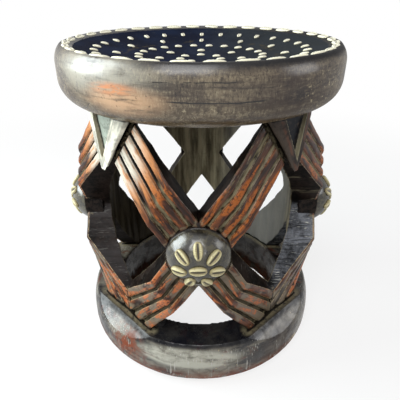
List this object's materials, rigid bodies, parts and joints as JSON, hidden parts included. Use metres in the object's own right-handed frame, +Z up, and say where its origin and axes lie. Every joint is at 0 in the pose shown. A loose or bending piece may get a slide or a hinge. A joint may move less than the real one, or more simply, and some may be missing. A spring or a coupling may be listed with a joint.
{
  "type": "carved openwork stool",
  "caption": "Round carved wooden stool: dished seat and ring base joined by an openwork wall of ribbed crosses with domed bosses, trimmed with cowrie shells.",
  "frame": {"origin": "on the floor under the middle of the stool", "axes": "+Z up, one cross of the openwork faces -Y, the others face +X, +Y and -X"},
  "size_m": [0.4194, 0.4194, 0.4606],
  "materials": {
    "seat_wood": "dark stained and waxed, worn red-brown in patches",
    "base_wood": "dark stained and waxed, scratched and chipped",
    "carved_wood": "dark stain rubbed back to red-brown on the ribs, pale dust in the grooves",
    "cowrie_shell": "natural glossy cream shell"
  },
  "bodies": {
    "root": {"arm_back_lower_left": "carved_wood", "arm_back_lower_right": "carved_wood", "arm_back_upper_left": "carved_wood", "arm_back_upper_right": "carved_wood", "arm_front_lower_left": "carved_wood", "arm_front_lower_right": "carved_wood", "arm_front_upper_left": "carved_wood", "arm_front_upper_right": "carved_wood", "arm_left_lower_left": "carved_wood", "arm_left_lower_right": "carved_wood", "arm_left_upper_left": "carved_wood", "arm_left_upper_right": "carved_wood", "arm_right_lower_left": "carved_wood", "arm_right_lower_right": "carved_wood", "arm_right_upper_left": "carved_wood", "arm_right_upper_right": "carved_wood", "base_ring": "base_wood", "boss_back": "carved_wood", "boss_cowries_back": "cowrie_shell", "boss_cowries_front": "cowrie_shell", "boss_cowries_left": "cowrie_shell", "boss_cowries_right": "cowrie_shell", "boss_front": "carved_wood", "boss_left": "carved_wood", "boss_right": "carved_wood", "corner_block_back_left": "carved_wood", "corner_block_back_right": "carved_wood", "corner_block_front_left": "carved_wood", "corner_block_front_right": "carved_wood", "dish_cowries_centre": "cowrie_shell", "dish_cowries_heart": "cowrie_shell", "dish_cowries_inner": "cowrie_shell", "dish_cowries_middle": "cowrie_shell", "dish_cowries_outer": "cowrie_shell", "rim_cowries": "cowrie_shell", "seat": "seat_wood"}
  },
  "joints": []
}
